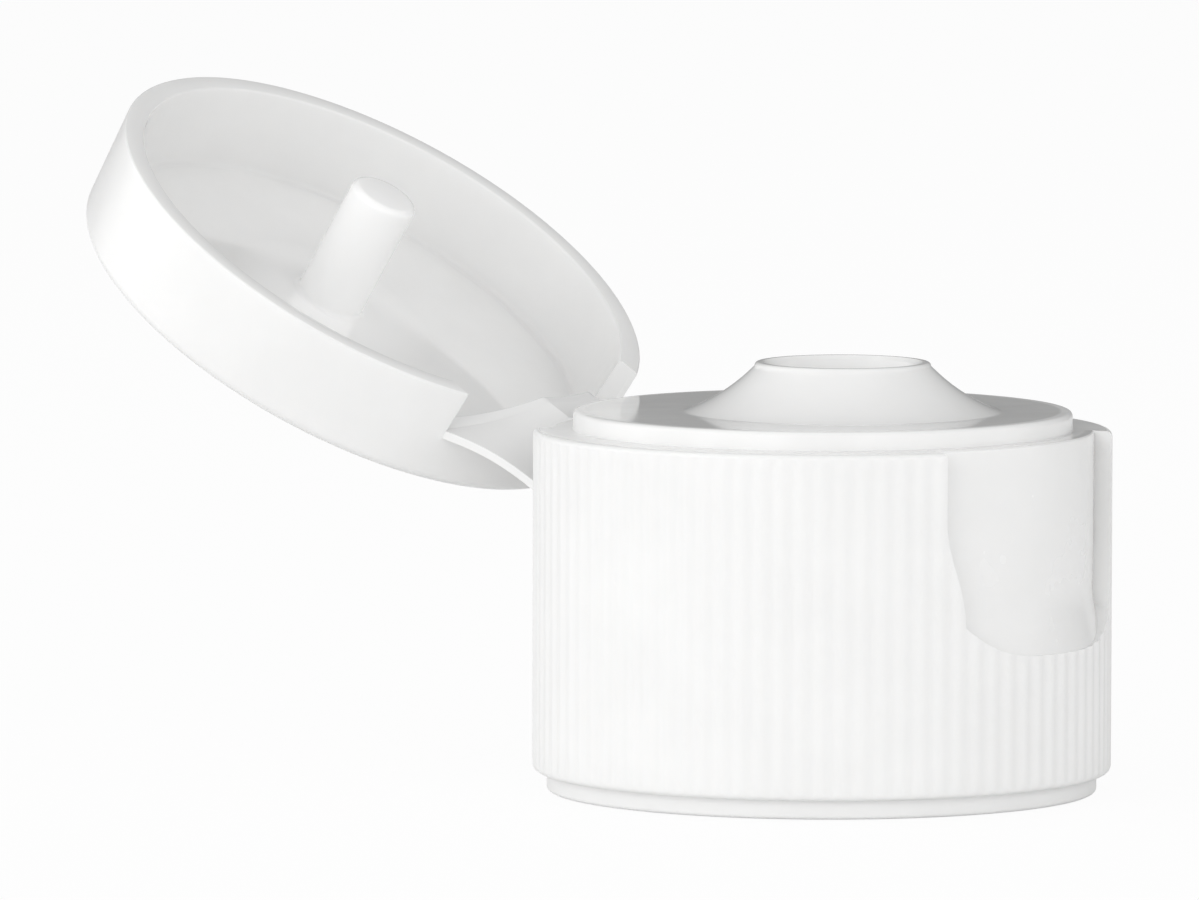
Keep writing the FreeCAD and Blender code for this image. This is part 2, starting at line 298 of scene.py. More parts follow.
def half_columns(count_strap, count_notch, count_flank, count_side, count_edge, count_recess):
    """Columns from the hinge to the recess on one side, as (zone, share) pairs.

    Zones: 0 strap, 1 notch, 2 flank, 3 side, 4 flank of the recess, 5 recess.  The columns
    at the notch's end and at the recess's edge come twice, once for each zone."""
    counts = (count_strap, count_notch, count_flank, count_side, count_edge, count_recess)
    zones, shares = [], []
    for zone, count in enumerate(counts):
        first = 0 if zone in (0, 2, 5) else 1
        last = count if zone != 5 else count
        share = np.arange(first, last + 1) / count
        zones.append(np.full(len(share), zone))
        shares.append(share)
    return np.concatenate(zones), np.concatenate(shares)


def both_sides(zones, shares):
    """The half columns going round, then mirrored back without their two end columns.

    Returns zone, share and side (+1 on +X, -1 on -X) for the whole ring."""
    side = np.ones(len(zones))
    return (np.concatenate([zones, zones[-2:0:-1]]), np.concatenate([shares, shares[-2:0:-1]]),
            np.concatenate([side, -side[-2:0:-1]]))


def column_x(zones, shares, edge):
    """Distance from the middle plane where a column lies at a fixed x: in the strap, notch
    and recess zones x runs evenly with the share, and elsewhere it is not used."""
    x = np.zeros(np.broadcast(zones, edge).shape)
    x = np.where(zones == 0, shares * STRAP_HALF_WIDTH, x)
    x = np.where(zones == 1, STRAP_HALF_WIDTH + shares * (WING_HALF_WIDTH - STRAP_HALF_WIDTH), x)
    return np.where(zones == 5, (1 - shares) * edge, x)


def column_azimuth(zones, shares, radius, edge, hinge_core, recess_core):
    """Azimuth from the hinge.  Columns of fixed x have the arcsine of x over the radius, held
    from the core radius inwards; the flanks share out the angle between their neighbours."""
    near = np.maximum(radius, hinge_core)
    far = np.maximum(radius, recess_core)
    x = column_x(zones, shares, edge)
    notch_end = np.arcsin(WING_HALF_WIDTH / near)
    recess_edge = math.pi - np.arcsin(edge / far)
    angle = np.where(zones <= 1, np.arcsin(x / near), 0)
    angle = np.where(zones == 2, notch_end + shares * (SECTOR - notch_end), angle)
    angle = np.where(zones == 3, SECTOR + shares * (math.pi - 2 * SECTOR), angle)
    angle = np.where(zones == 4, math.pi - SECTOR + shares * (recess_edge - math.pi + SECTOR), angle)
    return np.where(zones == 5, math.pi - np.arcsin(x / far), angle)


def recess_edge_x(z):
    """Half width of the thumb recess: full down to its sides' end, then easing in to the waist."""
    share = smooth((z - RECESS_WAIST) / (RECESS_SIDE - RECESS_WAIST))
    return RECESS_TOE_HALF_WIDTH + share * (RECESS_HALF_WIDTH - RECESS_TOE_HALF_WIDTH)


def recess_foot_z(x):
    """Height of the recess's lower outline: the foot, plus a power of the share of the half
    width that rises to the toe corners."""
    return RECESS_FOOT + (RECESS_TOE - RECESS_FOOT) * np.abs(x / RECESS_TOE_HALF_WIDTH) ** 3.7


def scoop_radius_at(z, depth):
    """Radius of the recess floor: even above the scoop, then the arc that runs out to the skirt."""
    floor = SKIRT_RADIUS - depth
    bend = (depth ** 2 + SCOOP_LENGTH ** 2) / (2 * depth)
    drop = np.clip(SCOOP_TOP - z, 0, SCOOP_LENGTH)
    return floor + bend - np.sqrt(bend ** 2 - drop ** 2)


def skirt_rows(sizes, zones, shares):
    """Radius and height of the outer rows, from the bottom rim up to the ledge, and the first and last notch rows.

    Every row is a function of the column's zone: plain columns follow the skirt, notch columns
    end on the slanting notch floor, and recess columns follow the recess floor."""
    ring = len(zones)
    notch_x = column_x(zones, shares, RECESS_TOE_HALF_WIDTH)
    in_notch, in_recess = zones == 1, zones == 5
    slope = (notch_x - STRAP_HALF_WIDTH) / (WING_HALF_WIDTH - STRAP_HALF_WIDTH)
    drop = np.where(in_notch, BODY_NOTCH * slope, 0)
    top = LEDGE - drop
    edge_round = TOP_ROUND + (0.05 * MM - TOP_ROUND) * smooth(drop / (0.5 * MM))
    edge_round = np.where(in_recess, EDGE_ROUND, edge_round)
    foot = np.where(in_recess, recess_foot_z(notch_x), RECESS_TOE)
    rows = []

    def add(r, z, recessed=False):
        r, z = np.broadcast_to(r, ring).astype(float), np.broadcast_to(z, ring).astype(float)
        if recessed:
            r = np.where(in_recess, r - SKIRT_RADIUS + scoop_radius_at(z, sizes.recess_depth), r)
        rows.append((r, z))

    for r, z in rounded([
            (BORE_RADIUS + 0.85 * MM, 0), (BEAD_RADIUS, 0, BEAD_ROUND), (BEAD_RADIUS, BEAD_HEIGHT, CREASE),
            (SKIRT_RADIUS, BEAD_HEIGHT, FOOT_ROUND), (SKIRT_RADIUS, BEAD_HEIGHT + FOOT_ROUND + 1e-6)], 6)[:-1]:
        add(r, z)
    low = BEAD_HEIGHT + FOOT_ROUND
    for v in np.linspace(0, 1, 8)[1:]:
        add(SKIRT_RADIUS, low + (foot - low) * v)
    for v in np.linspace(0, 1, 15):
        add(SKIRT_RADIUS, foot + (RECESS_SIDE - foot) * v, True)
    notch_level = LEDGE - BODY_NOTCH
    for v in (0.5, 1):
        add(SKIRT_RADIUS, RECESS_SIDE + (notch_level - RECESS_SIDE) * v, True)
    first_notch_row = len(rows) - 1
    wall_top = top - edge_round
    for v in np.linspace(0, 1, 7)[1:]:
        add(SKIRT_RADIUS, notch_level + np.maximum(wall_top - notch_level, 0) * v, True)
    for a in np.linspace(0, math.pi / 2, 7)[1:]:
        add(SKIRT_RADIUS - edge_round * (1 - math.cos(a)), wall_top + edge_round * math.sin(a), True)
    recess_top = SKIRT_RADIUS - sizes.recess_depth - EDGE_ROUND
    add(np.where(in_recess, recess_top, NOTCH_FLOOR), top)
    add(np.where(in_recess, recess_top, NOTCH_FLOOR), LEDGE)
    last_notch_row = len(rows) - 1
    add(recess_top, LEDGE)
    add(BORE_RADIUS + 0.8 * MM, LEDGE)
    radius, height = (np.array(part) for part in zip(*rows))
    return radius, height, (first_notch_row, last_notch_row)


def flare_points(lip_outer, foot, deck_top, steps=20):
    """Hollow flare from the deck up to the lip: the arc of the flare's bend between the two,
    a small crease at its foot, and a quarter round over the lip."""
    low, high = np.array([foot, deck_top]), np.array([lip_outer, SPOUT_TOP - LIP_ROUND])
    chord = high - low
    half = np.linalg.norm(chord) / 2
    out = np.array([-chord[1], chord[0]]) / (-2 * half)
    centre = (low + high) / 2 + out * math.sqrt(FLARE_BEND ** 2 - half ** 2)
    start = math.atan2(*(low - centre)[::-1])
    stop = math.atan2(*(high - centre)[::-1])
    angle = np.linspace(start, stop, steps)
    flare = centre + FLARE_BEND * np.column_stack([np.cos(angle), np.sin(angle)])
    turn = np.linspace(0, math.pi / 2, 7)[1:]
    lip = np.column_stack([
        lip_outer - LIP_ROUND * (1 - np.cos(turn)), SPOUT_TOP - LIP_ROUND * (1 - np.sin(turn))])
    return np.vstack([rounded([(foot + 0.4 * MM, deck_top), (foot, deck_top, 0.6 * MM), flare[2]], 5)[:-1], flare[2:], lip])


def inner_rows(sizes):
    """Profile of the deck, spout, funnel, underside and bore as (r, z, offset share, polish)."""
    deck_top = LEDGE + sizes.deck_rise
    under = deck_top - 1.2 * MM
    lip_outer = sizes.lip_radius + 0.6 * MM
    foot = lip_outer + FLARE_RUN
    orifice = 1.8 * MM
    boss = orifice + 1.1 * MM
    bottom = BORE_DEPTH + 0.05 * MM
    ring = 9.3 * MM
    deck = rounded([
        (BORE_RADIUS + 0.5 * MM, LEDGE), (sizes.deck_radius, LEDGE, CREASE),
        (sizes.deck_radius, deck_top, 0.25 * MM), (sizes.deck_radius - 0.5 * MM, deck_top)], 7)
    plain = rounded([(sizes.deck_radius - 0.7 * MM, deck_top), (foot + 0.7 * MM, deck_top)])
    spout = flare_points(lip_outer, foot, deck_top)
    well = rounded([
        (sizes.lip_radius + 0.2 * MM, SPOUT_TOP), (sizes.lip_radius, SPOUT_TOP - 0.2 * MM, 0.12 * MM),
        (orifice, bottom + 0.3 * MM, 0.1 * MM), (orifice, bottom), (boss, bottom, 0.2 * MM),
        (boss, under, CREASE), (3.7 * MM, under), (3.7 * MM, under + 0.3 * MM), (4.57 * MM, deck_top, 0.3 * MM),
        (6.05 * MM, under + 0.05 * MM), (6.15 * MM, under)])
    land = rounded([
        (ring - 0.8 * MM, under), (ring - 0.7 * MM, under, 0.05 * MM),
        (ring - 0.7 * MM, under - 0.6 * MM, 0.2 * MM), (ring, under - 0.6 * MM, 0.2 * MM),
        (ring, under, CREASE), (11.0 * MM, under, 0.3 * MM), (11.0 * MM, BORE_DEPTH), (BORE_RADIUS, BORE_DEPTH)])
    bore = np.column_stack([np.full(52, BORE_RADIUS), np.linspace(BORE_DEPTH - 0.1 * MM, 0.35 * MM, 52)])
    rim = rounded([(BORE_RADIUS, 0.3 * MM), (BORE_RADIUS + 0.2 * MM, 0), (BORE_RADIUS + 0.5 * MM, 0)])
    parts = ((deck, 0, 0.6), (plain, None, 1), (spout, 1, 1), (well, 1, 0.8), (land, 0, 0.5), (bore, 0, 0.4), (rim, 0, 0.3))
    rows = []
    for points, share, polish in parts:
        share = np.linspace(0, 1, len(points)) if share is None else np.full(len(points), share)
        rows.append(np.column_stack([points, share, np.full(len(points), polish)]))
    return np.vstack(rows)


def thread_height(azimuth, z):
    """Height of the thread ridge at an azimuth and height: a rounded ridge that climbs one
    pitch a turn, from the start for the given turns, and eases in and out at both ends."""
    total = np.zeros(np.broadcast(azimuth, z).shape)
    for turn in range(math.ceil(THREAD_TURNS) + 1):
        travelled = azimuth / math.tau + turn
        centre = THREAD_START + THREAD_PITCH * travelled
        ends = smooth(travelled / 0.06) * smooth((THREAD_TURNS - travelled) / 0.06)
        ridge = 1 - smooth((np.abs(z - centre) - 0.2 * MM) / (THREAD_HALF_WIDTH - 0.2 * MM))
        total = np.maximum(total, ridge * ends)
    return total * THREAD_HEIGHT


def closure_mesh(sizes):
    """Points, faces and polish of the closure body as one closed surface.

    The outer grid carries the ribs, notches and recess.  The inner grid has half the columns
    and carries deck, spout, funnel, underside and bore.  Two rings of triangles join them."""
    zones, shares, side = both_sides(*half_columns(16, 46, 34, 168, 34, 62))
    radius, height, notch_rows = skirt_rows(sizes, zones, shares)
    edge = recess_edge_x(height)
    azimuth = column_azimuth(zones, shares, radius, edge, NOTCH_FLOOR, SKIRT_RADIUS - sizes.recess_depth - EDGE_ROUND)
    fade = smooth((LEDGE - 0.1 * MM - height) / (0.35 * MM)) * smooth((height - BEAD_HEIGHT) / (0.25 * MM))
    groove = sizes.rib_depth * (1 - np.cos(sizes.rib_count * azimuth)) / 2 * fade
    ribbed = SKIRT_RADIUS - groove
    on_skirt = radius > SKIRT_RADIUS - TOP_ROUND * 1.01
    radius = np.where((zones != 5) & on_skirt & (height > BEAD_HEIGHT * 1.001), radius - groove, radius)
    below = height <= recess_foot_z(np.minimum(column_x(zones, shares, edge), RECESS_TOE_HALF_WIDTH)) + 1e-9
    first_recess = int(np.argmax((np.diff(height, axis=0) < 1e-9).all(axis=1) & (height[1:] > 5 * MM).all(axis=1))) + 1
    lower = np.arange(len(radius))[:, None] < first_recess
    radius = np.where((zones == 5) & lower & (height > BEAD_HEIGHT * 1.001) & on_skirt, radius - groove, radius)
    radius = np.where((zones == 5) & ~lower, np.minimum(radius, np.maximum(ribbed, SKIRT_RADIUS - 1.1 * sizes.recess_depth)), radius)
    del below
    around = azimuth * side
    outer = np.stack([radius * np.sin(around), radius * np.cos(around), height], axis=-1)
    rows, ring = radius.shape
    quads = grid_faces(ring, rows)
    index = np.arange(rows * ring).reshape(rows, ring)
    first, last = notch_rows
    polygons = []
    ends = [j for j in range(ring) if {zones[j], zones[(j + 1) % ring]} == {1, 2}]
    keep = np.ones(quads.shape[:2], bool)
    for j in ends:
        keep[first:last, j] = False
        loop = np.concatenate([index[first:last + 1, j][::-1], index[first:last + 1, (j + 1) % ring]])
        polygons.append(loop)
    outer_quads = quads[keep]

    single = np.ones(ring, bool)
    twins = [j for j in range(ring) if {zones[j], zones[(j + 1) % ring]} in ({1, 2}, {4, 5})]
    single[twins] = False
    kept = np.flatnonzero(single)
    coarse = kept[::2]
    profile = inner_rows(sizes)
    phi = around[-1, coarse]
    r, z, share, gloss = (column[:, None] for column in profile.T)
    shift = -sizes.spout_offset * share
    in_bore = (np.abs(r - BORE_RADIUS) < 1e-9) & (z < BORE_DEPTH - 1e-6)
    turned = np.mod(phi, math.tau)
    r = np.where(in_bore, r - thread_height(turned, z), r)
    inner = np.stack([r * np.sin(phi), r * np.cos(phi) + shift, np.broadcast_to(z, r.shape)], axis=-1)
    inner = np.broadcast_to(inner, (len(profile), len(coarse), 3))
    offset = rows * ring
    inner_quads = grid_faces(len(coarse), len(profile)).reshape(-1, 4) + offset
    inner_index = np.arange(len(profile) * len(coarse)).reshape(len(profile), -1) + offset
    joins = [two_to_one(index[-1], kept, inner_index[0]), two_to_one(index[0], kept, inner_index[-1])[:, ::-1]]
    points = np.concatenate([outer.reshape(-1, 3), inner.reshape(-1, 3)])
    polish_outer = np.where(height > LEDGE - 1e-6, 0.6, 0.0) + np.where((zones == 5) & ~lower, 0.45, 0)
    polish = np.concatenate([np.minimum(polish_outer, 1).ravel(), np.repeat(profile[:, 3], len(coarse))])
    return points, np.concatenate([outer_quads, inner_quads, *joins]), polygons, polish


def two_to_one(fine_ring, kept, coarse_ring):
    """Triangles, as quads with one closed side, between a ring and one with half its columns."""
    fine = fine_ring[kept]
    a, b, c = fine[::2], fine[1::2], np.roll(fine[::2], -1)
    low, high = coarse_ring, np.roll(coarse_ring, -1)
    return np.concatenate([
        np.stack([a, b, low, low], axis=1), np.stack([b, high, low, low], axis=1),
        np.stack([b, c, high, high], axis=1)])


# ---------------------------------------------------------------- lid


def lid_mesh(sizes, spout_offset):
    """Points, faces, polish and the pin mask for the painted glow of the lid, built shut as one closed turned shell
    with the three-cornered notches at its rim and the plug pin in its ceiling, then swung open."""
    zones, shares, side = both_sides(*half_columns(10, 28, 14, 70, 14, 26))
    ring = len(zones)
    ceiling = LEDGE + sizes.depth
    top = ceiling + 1.0 * MM
    x = column_x(zones, shares, RECESS_HALF_WIDTH)
    slope = (x - STRAP_HALF_WIDTH) / (WING_HALF_WIDTH - STRAP_HALF_WIDTH)
    rim = LEDGE + RIM_GAP + np.where(zones == 1, (LID_NOTCH - RIM_GAP) * slope, 0)
    level = LEDGE + LID_NOTCH
    outer_edge, inner_edge = 0.1 * MM, 0.12 * MM

    def outside(z):
        return sizes.rim_radius - sizes.draft * (z - LEDGE) / (top - LEDGE)

    def inside(z):
        return sizes.rim_radius - sizes.wall - 0.3 * MM * (z - LEDGE) / sizes.depth

    rows = []

    def add(r, z, share=0.0, polish=0.3):
        rows.append([np.broadcast_to(value, ring).astype(float) for value in (r, z, share, polish)])

    for r, z in rounded([(0, top), (6 * MM, top), (sizes.rim_radius - sizes.draft, top, 0.6 * MM),
                         (outside(level + 0.5 * MM), level + 0.5 * MM)], 9):
        add(r, z)
    add(outside(level), level)
    first = len(rows) - 1
    for v in np.linspace(0, 1, 6)[1:]:
        z = level + np.maximum(rim + outer_edge - level, 0) * 0 + (np.minimum(rim + outer_edge, level) - level) * v
        add(outside(z), z)
    edge = np.minimum(outer_edge, level - rim)
    for a in np.linspace(0, math.pi / 2, 4)[1:]:
        add(outside(rim) - edge * (1 - math.cos(a)), rim + edge * (1 - math.sin(a)), polish=0.6)
    edge = np.minimum(inner_edge, level - rim)
    for a in np.linspace(0, math.pi / 2, 4):
        add(inside(rim) + edge * (1 - math.sin(a)), rim + edge * (1 - math.cos(a)), polish=0.8)
    for v in np.linspace(0, 1, 6)[1:]:
        z = rim + edge + (level - rim - edge) * v
        add(inside(z), z, polish=1)
    last = len(rows) - 1
    for r, z in rounded([(inside(level + 0.3 * MM), level + 0.3 * MM), (inside(ceiling), ceiling, 0.3 * MM),
                         (inside(ceiling) - 1 * MM, ceiling)], 8):
        add(r, z, polish=1)
    pin = rounded([(sizes.pin_radius + 0.6 * MM, ceiling), (sizes.pin_radius, ceiling, 0.25 * MM),
                   (sizes.pin_radius, LEDGE - sizes.pin_reach, 0.35 * MM), (0, LEDGE - sizes.pin_reach)], 7)
    for share in (0.33, 0.66):
        add(inside(ceiling) - 1 * MM + (pin[0][0] - inside(ceiling) + 1 * MM) * share, ceiling, share, 1)
    for r, z in pin:
        add(r, z, 1, 0.7)
    radius, height, share, polish = (np.array(part) for part in zip(*rows))
    azimuth = column_azimuth(zones, shares, radius, RECESS_HALF_WIDTH, inside(ceiling), inside(ceiling)) * side
    points = np.stack([radius * np.sin(azimuth), radius * np.cos(azimuth) - spout_offset * share, height], axis=-1)
    quads = grid_faces(ring, len(rows))
    index = np.arange(len(rows) * ring).reshape(len(rows), ring)
    keep = np.ones(quads.shape[:2], bool)
    polygons = []
    for j in [j for j in range(ring) if {zones[j], zones[(j + 1) % ring]} == {1, 2}]:
        keep[first:last, j] = False
        polygons.append(np.concatenate([index[first:last + 1, j][::-1], index[first:last + 1, (j + 1) % ring]]))
    # Second column: the pin, whose colour the material paints paler as a painted glow.
    polish_and_glow = np.column_stack([polish.ravel(), share.ravel() >= 1])
    return swung(points.reshape(-1, 3)), quads[keep], polygons, polish_and_glow


# ---------------------------------------------------------------- hinge


def web_strip(sizes, start_x, stop_x, columns=10, steps=14):
    """Closed slab of the hinge web between two distances from the middle plane.

    At each x the middle line runs straight from the body's hinge line to the lid's, with a
    bow of the sine of its share of the way; both lines follow the notches' slopes."""
    x = np.linspace(start_x, stop_x, columns)[:, None]
    share = np.clip((np.abs(x) - STRAP_HALF_WIDTH) / (WING_HALF_WIDTH - STRAP_HALF_WIDTH), 0, 1)
    half = sizes.thickness / 2
    y = np.sqrt((SKIRT_RADIUS - half) ** 2 - x ** 2)
    body = np.stack([x, y, LEDGE - BODY_NOTCH * share - half], axis=-1)
    lid = swung(np.stack([x, y, LEDGE + LID_NOTCH * share + half], axis=-1))
    along = lid - body
    along /= np.linalg.norm(along, axis=-1, keepdims=True)
    across = np.stack([0 * x, -along[..., 2], along[..., 1]], axis=-1)
    root = 0.2 * MM
    start, stop = body - along * root, lid + along * root
    t = np.linspace(0, 1, steps)[None, :, None]
    middle = start + (stop - start) * t + across * sizes.bow * share[..., None] * np.sin(math.pi * t)
    sheet = np.stack([middle + across * half, middle - across * half])
    loop = np.concatenate([sheet[0], sheet[1][:, ::-1]], axis=1)
    ring = loop.shape[1]
    quads = grid_faces(ring, columns).reshape(-1, 4)
    low = np.arange(steps - 1)
    caps = np.stack([low, low + 1, ring - 2 - low, ring - 1 - low], axis=1)
    caps = np.concatenate([caps[:, ::-1], caps + (columns - 1) * ring])
    centre = columns // 2
    return loop.reshape(-1, 3), np.concatenate([quads, caps]), body[centre, 0], lid[centre, 0]


# ---------------------------------------------------------------- materials


class Nodes:
    """Short calls for wiring a node tree."""

    def __init__(self, tree):
        self.tree = tree
        tree.nodes.clear()

    def add(self, kind, inputs=None, **settings):
        node = self.tree.nodes.new(kind)
        for key, value in settings.items():
            setattr(node, key, value)
        for key, value in (inputs or {}).items():
            if isinstance(value, bpy.types.NodeSocket):
                self.tree.links.new(value, node.inputs[key])
            else:
                node.inputs[key].default_value = value
        return node


def polypropylene(name, finish, bump=0.06, scatter=0.15):
    """White polypropylene: faintly cloudy colour, satin where unpolished and glossy where the
    polish attribute is 1, with the fine grain and slow waviness of a moulded surface.  A second
    attribute is 1 on the solid pin, where the colour is painted paler: a painted glow that makes
    the pin look more brightly lit than the rest of the same plastic."""
    material = bpy.data.materials.new(name)
    material.use_nodes = True
    n = Nodes(material.node_tree)
    place = n.add("ShaderNodeTexCoord").outputs["Object"]
    cloud = n.add("ShaderNodeTexNoise", {"Vector": place, "Scale": 260.0, "Detail": 3.0, "Roughness": 0.55})
    grain = n.add("ShaderNodeTexNoise", {"Vector": place, "Scale": 9000.0, "Detail": 2.0})
    waves = n.add("ShaderNodeTexNoise", {"Vector": place, "Scale": 420.0, "Detail": 1.0})
    polish = n.add("ShaderNodeAttribute", attribute_name="polish").outputs["Fac"]
    colour = tuple(finish.colour)
    tint = n.add("ShaderNodeValToRGB", {"Fac": cloud.outputs["Fac"]})
    tint.color_ramp.elements[0].position, tint.color_ramp.elements[1].position = 0.3, 0.7
    tint.color_ramp.elements[0].color = (*(c * 0.985 for c in colour), 1)
    tint.color_ramp.elements[1].color = (*(min(c * 1.01, 1) for c in colour), 1)
    # Painted light: on the pin the plastic's colour is mixed towards a paler white, a painted glow that makes it look
    # more brightly lit.
    bright = n.add("ShaderNodeAttribute", attribute_name="bright").outputs["Fac"]
    colour = n.add("ShaderNodeMix", {0: bright, 6: tint.outputs["Color"], 7: (0.99, 0.99, 0.985, 1)}, data_type="RGBA")
    sheen = n.add("ShaderNodeMapRange", {
        "Value": polish, "From Min": 0.0, "From Max": 1.0, "To Min": finish.satin, "To Max": finish.gloss})
    wear = n.add("ShaderNodeMapRange", {
        "Value": cloud.outputs["Fac"], "From Min": 0.3, "From Max": 0.7, "To Min": -0.02, "To Max": 0.02})
    rough = n.add("ShaderNodeMath", {0: sheen.outputs["Result"], 1: wear.outputs["Result"]}, operation="ADD")
    grip = n.add("ShaderNodeMapRange", {
        "Value": polish, "From Min": 0.0, "From Max": 0.7, "To Min": bump, "To Max": 0.0})
    fine = n.add("ShaderNodeBump", {
        "Height": grain.outputs["Fac"], "Strength": grip.outputs["Result"], "Distance": 0.02 * MM})
    slow = n.add("ShaderNodeBump", {
        "Height": waves.outputs["Fac"], "Strength": 0.12, "Distance": 0.05 * MM, "Normal": fine.outputs["Normal"]})
    shader = n.add("ShaderNodeBsdfPrincipled", {
        "Base Color": colour.outputs[2], "Roughness": rough.outputs["Value"], "IOR": 1.49,
        "Subsurface Weight": scatter, "Subsurface Scale": 0.7 * MM, "Normal": slow.outputs["Normal"]})
    shader.inputs["Subsurface Radius"].default_value = (1.0, 0.95, 0.9)
    n.add("ShaderNodeOutputMaterial", {"Surface": shader.outputs["BSDF"]})
    return material


def shared_material(finish):
    """The one plastic that the whole moulding is made of."""
    return bpy.data.materials.get("polypropylene_white") or polypropylene("polypropylene_white", finish)


def web_material(finish):
    """The same plastic in the thin web, with no light spread inside, so that no seam shows
    between its strips."""
    return bpy.data.materials.get("polypropylene_web") or polypropylene("polypropylene_web", finish, scatter=0.0)


# ---------------------------------------------------------------- operators


class FLIPCAP_OT_closure(bpy.types.Operator):
    """Make the ribbed closure body with its deck, spout and neck thread"""

    bl_idname = "flipcap.closure"
    bl_label = "Make Closure Body"

    def execute(self, context):
        scene = context.scene
        points, quads, polygons, polish = closure_mesh(scene.closure_sizes)
        add_piece("closure_shell", points, quads, shared_material(scene.cap_finish), "closure",
                  polygons, polish, "closure_body")
        return {"FINISHED"}


class FLIPCAP_OT_lid(bpy.types.Operator):
    """Make the lid with its plug pin, open"""

    bl_idname = "flipcap.lid"
    bl_label = "Make Lid"

    def execute(self, context):
        scene = context.scene
        # polish carries two columns here: the lid's polish, and the pin mask for its painted glow.
        points, quads, polygons, polish = lid_mesh(scene.lid_sizes, scene.closure_sizes.spout_offset)
        add_piece("lid_shell", points, quads, shared_material(scene.cap_finish), "lid", polygons, polish, "lid")
        return {"FINISHED"}


class FLIPCAP_OT_hinge(bpy.types.Operator):
    """Make the strap and the two wings of the butterfly hinge"""

    bl_idname = "flipcap.hinge"
    bl_label = "Make Butterfly Hinge"

    def execute(self, context):
        scene = context.scene
        sizes = scene.hinge_sizes
        edges = np.linspace(STRAP_HALF_WIDTH, WING_HALF_WIDTH, sizes.strips + 1)
        spans = [("hinge_strap", -STRAP_HALF_WIDTH, STRAP_HALF_WIDTH)]
        for side, word in ((-1, "left"), (1, "right")):
            for i, (a, b) in enumerate(zip(edges, edges[1:])):
                spans.append((f"hinge_wing_{word}_{i + 1}", side * a, side * b))
        for name, start, stop in spans:
            points, quads, on_body, on_lid = web_strip(sizes, start, stop)
            piece = add_piece(name, points, quads, web_material(scene.cap_finish), None,
                              polish=np.full(len(points), 0.5), replaces="hinge_web")
            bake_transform(piece)
        return {"FINISHED"}


VIEW_AZIMUTH = math.radians(-56.045)
VIEW_ELEVATION = math.radians(5.638)
VIEW_DISTANCE = 0.8043
VIEW_HEIGHT = 10 * MM
LENS = 499.4
AIM_RIGHT, AIM_UP = 0.01339, -0.00803
ROLL = math.radians(-0.2236)


def place_camera():
    """Long lens from the thumb side, low, with the cap's axis right of the middle."""
    a, e = VIEW_AZIMUTH, VIEW_ELEVATION
    look = Vector((-math.sin(a) * math.cos(e), math.cos(a) * math.cos(e), -math.sin(e)))
    right = Vector((math.cos(a), math.sin(a), 0))
    up = right.cross(look)
    side = right * math.cos(ROLL) - up * math.sin(ROLL)
    rise = right * math.sin(ROLL) + up * math.cos(ROLL)
    aim = (look - side * AIM_RIGHT - rise * AIM_UP).normalized()
    side = (side - aim * side.dot(aim)).normalized()
    back = -aim
    rise = back.cross(side)
    data = bpy.data.cameras.new("camera")
    data.lens, data.sensor_width = LENS, 36
    data.clip_start, data.clip_end = 0.01, 10
    camera = bpy.data.objects.new("camera", data)
    place = Matrix((side, rise, back)).transposed().to_4x4()
    place.translation = Vector((0, 0, VIEW_HEIGHT)) - look * VIEW_DISTANCE
    camera.matrix_world = place
    bpy.context.scene.collection.objects.link(camera)
    bpy.context.scene.camera = camera


# Name, azimuth and elevation in degrees, and share of the studio's power.
SOFTBOXES = (
    ("left_back", -165, 12, 0.415),
    ("left", -130, 12, 0.225),
    ("left_front", -95, 12, 0.535),
    ("front", -56, 15, 0.245),
    ("right_front", -20, 12, 0.39),
    ("right", 25, 12, 0.29),
    ("high_left", -125, 50, 0.165),
)
SOFTBOX_SIZE = 0.35
SOFTBOX_DISTANCE = 0.45


def softbox(name, azimuth, elevation, power):
    """Square area light that faces the cap."""
    distance = SOFTBOX_DISTANCE
    data = bpy.data.lights.new(name, "AREA")
    data.shape, data.size, data.energy = "SQUARE", SOFTBOX_SIZE, power
    lamp = bpy.data.objects.new(name, data)
    a, e = math.radians(azimuth), math.radians(elevation)
    back = Vector((math.sin(a) * math.cos(e), -math.cos(a) * math.cos(e), math.sin(e)))
    lamp.location = Vector((0, 0.01, 0.015)) + back * distance
    lamp.rotation_euler = back.to_track_quat("Z", "Y").to_euler()
    bpy.context.scene.collection.objects.link(lamp)
    return lamp


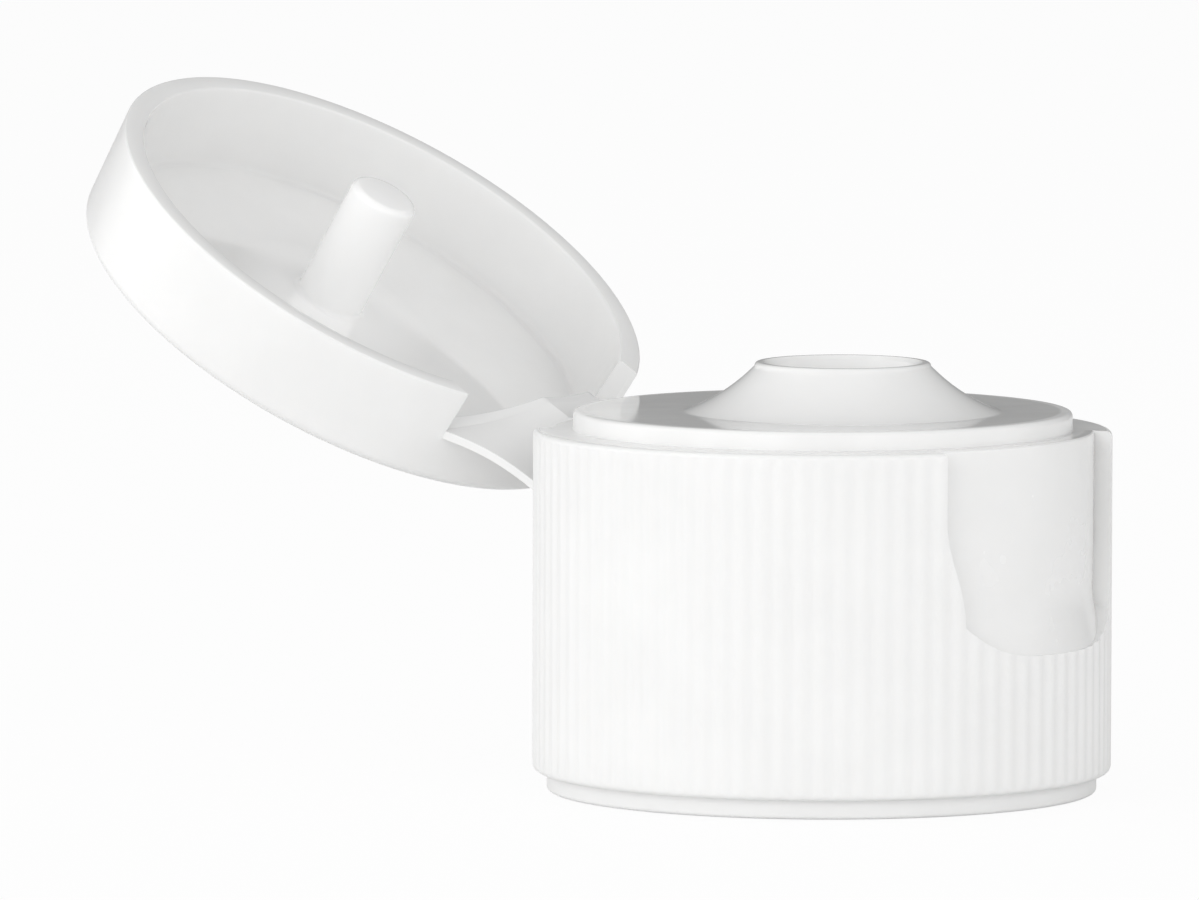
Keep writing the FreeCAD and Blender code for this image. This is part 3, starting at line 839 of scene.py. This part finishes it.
class FLIPCAP_OT_studio(bpy.types.Operator):
    """Make the pale floor, the soft lights, the room and the camera"""

    bl_idname = "flipcap.studio"
    bl_label = "Make Studio"

    def execute(self, context):
        scene = context.scene
        studio = scene.cap_studio
        size, floor_z = 3.0, -0.00005
        corners = [(-size, -size, floor_z), (size, -size, floor_z), (size, size, floor_z), (-size, size, floor_z)]
        mesh = bpy.data.meshes.new("floor")
        mesh.from_pydata(corners, [], [(0, 1, 2, 3)])
        floor = bpy.data.objects.new("floor", mesh)
        scene.collection.objects.link(floor)
        material = bpy.data.materials.new("floor_paper")
        material.use_nodes = True
        n = Nodes(material.node_tree)
        ray = n.add("ShaderNodeLightPath")
        paper = n.add("ShaderNodeBsdfDiffuse", {"Color": (0.85, 0.85, 0.85, 1)})
        white = n.add("ShaderNodeEmission", {"Color": (1, 1, 1, 1), "Strength": 1.0})
        share = n.add("ShaderNodeMath", {0: ray.outputs["Is Camera Ray"], 1: 0.94}, operation="MULTIPLY")
        mix = n.add("ShaderNodeMixShader", {0: share.outputs[0], 1: paper.outputs[0], 2: white.outputs[0]})
        n.add("ShaderNodeOutputMaterial", {"Surface": mix.outputs[0]})
        mesh.materials.append(material)

        world = bpy.data.worlds.new("room")
        world.use_nodes = True
        n = Nodes(world.node_tree)
        ray = n.add("ShaderNodeLightPath")
        room = n.add("ShaderNodeBackground", {"Color": (1, 1, 1, 1), "Strength": studio.world})
        white = n.add("ShaderNodeBackground", {"Color": (1, 1, 1, 1), "Strength": 1.0})
        dark = n.add("ShaderNodeBackground", {"Color": (1, 1, 1, 1), "Strength": studio.mirrored})
        mix = n.add("ShaderNodeMixShader", {0: ray.outputs["Is Glossy Ray"], 1: room.outputs[0], 2: dark.outputs[0]})
        mix = n.add("ShaderNodeMixShader", {0: ray.outputs["Is Camera Ray"], 1: mix.outputs[0], 2: white.outputs[0]})
        n.add("ShaderNodeOutputWorld", {"Surface": mix.outputs[0]})
        scene.world = world

        for name, azimuth, elevation, share in SOFTBOXES:
            softbox(name, azimuth, elevation, share * studio.power)
        place_camera()
        scene.view_settings.view_transform = "Standard"
        return {"FINISHED"}


class FLIPCAP_PT_panel(bpy.types.Panel):
    """Sizes, finish and steps of the flip top cap"""

    bl_idname = "FLIPCAP_PT_panel"
    bl_label = "Flip Top Cap"
    bl_space_type = "VIEW_3D"
    bl_region_type = "UI"
    bl_category = "Flip Top Cap"

    def draw(self, context):
        layout, scene = self.layout, context.scene
        for group, operator in (("closure_sizes", FLIPCAP_OT_closure), ("lid_sizes", FLIPCAP_OT_lid),
                                ("hinge_sizes", FLIPCAP_OT_hinge), ("cap_finish", None),
                                ("cap_studio", FLIPCAP_OT_studio)):
            box = layout.box()
            for key in getattr(scene, group).bl_rna.properties.keys():
                if key not in ("rna_type", "name"):
                    box.prop(getattr(scene, group), key)
            if operator:
                box.operator(operator.bl_idname)


GROUPS = (("closure_sizes", ClosureSizes), ("lid_sizes", LidSizes), ("hinge_sizes", HingeSizes),
          ("cap_finish", CapFinish), ("cap_studio", CapStudio))
OTHERS = (FLIPCAP_OT_closure, FLIPCAP_OT_lid, FLIPCAP_OT_hinge, FLIPCAP_OT_studio, FLIPCAP_PT_panel)


def register():
    for name, group in GROUPS:
        bpy.utils.register_class(group)
        setattr(bpy.types.Scene, name, PointerProperty(type=group))
    for other in OTHERS:
        bpy.utils.register_class(other)


def unregister():
    for other in reversed(OTHERS):
        bpy.utils.unregister_class(other)
    for name, group in reversed(GROUPS):
        delattr(bpy.types.Scene, name)
        bpy.utils.unregister_class(group)


def main():
    register()
    bpy.ops.flipcap.closure()
    bpy.ops.flipcap.lid()
    bpy.ops.flipcap.hinge()
    bpy.ops.flipcap.studio()


if __name__ == "__main__":
    main()
